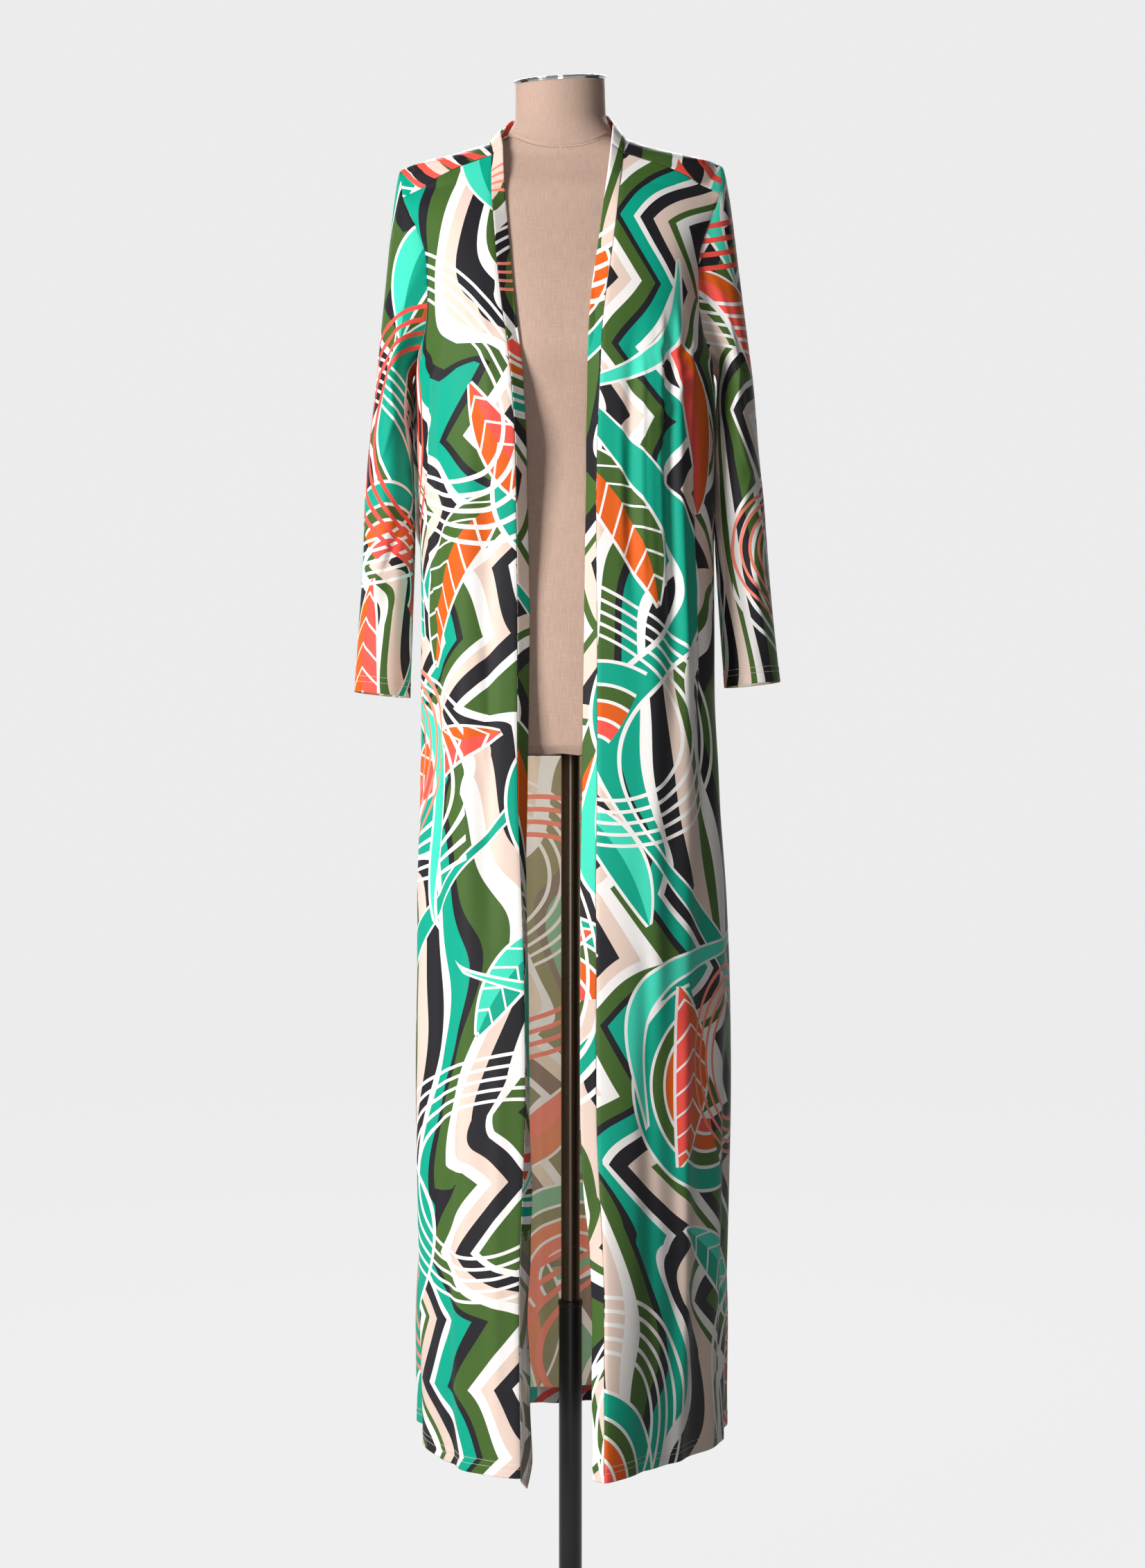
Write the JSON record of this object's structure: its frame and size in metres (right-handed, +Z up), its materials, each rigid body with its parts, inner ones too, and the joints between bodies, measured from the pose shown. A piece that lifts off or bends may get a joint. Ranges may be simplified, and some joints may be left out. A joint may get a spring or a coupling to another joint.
{
  "type": "long open-front kimono coat in printed jersey on a limbless dress form with a pole stand",
  "caption": "Long open-front kimono coat in an abstract all-over print with full-length sleeves and a narrow neckband, on a linen-covered limbless dress form on a pole stand.",
  "frame": {"origin": "middle of the foot plate's underside, on the pole's axis, at floor level", "axes": "+Z up along the pole; the coat opens towards -Y; +X is the wearer's left"},
  "size_m": [0.5114, 0.3555, 1.9071],
  "materials": {
    "printed_jersey": "smooth knit jersey with an all-over print",
    "printed_band": "folded band of the same printed jersey",
    "linen": "plain woven linen, pinkish beige",
    "chrome": "polished chrome",
    "dark_chrome": "polished black chrome",
    "black_steel": "gloss black enamel"
  },
  "bodies": {
    "root": {"back": "printed_jersey", "front_right": "printed_jersey", "front_left": "printed_jersey", "sleeve_right": "printed_jersey", "sleeve_left": "printed_jersey", "band_right": "printed_band", "band_left": "printed_band", "form": "linen", "neck_cap": "chrome", "pole_upper": "dark_chrome", "pole_lower": "black_steel", "foot_plate": "black_steel"}
  },
  "joints": []
}
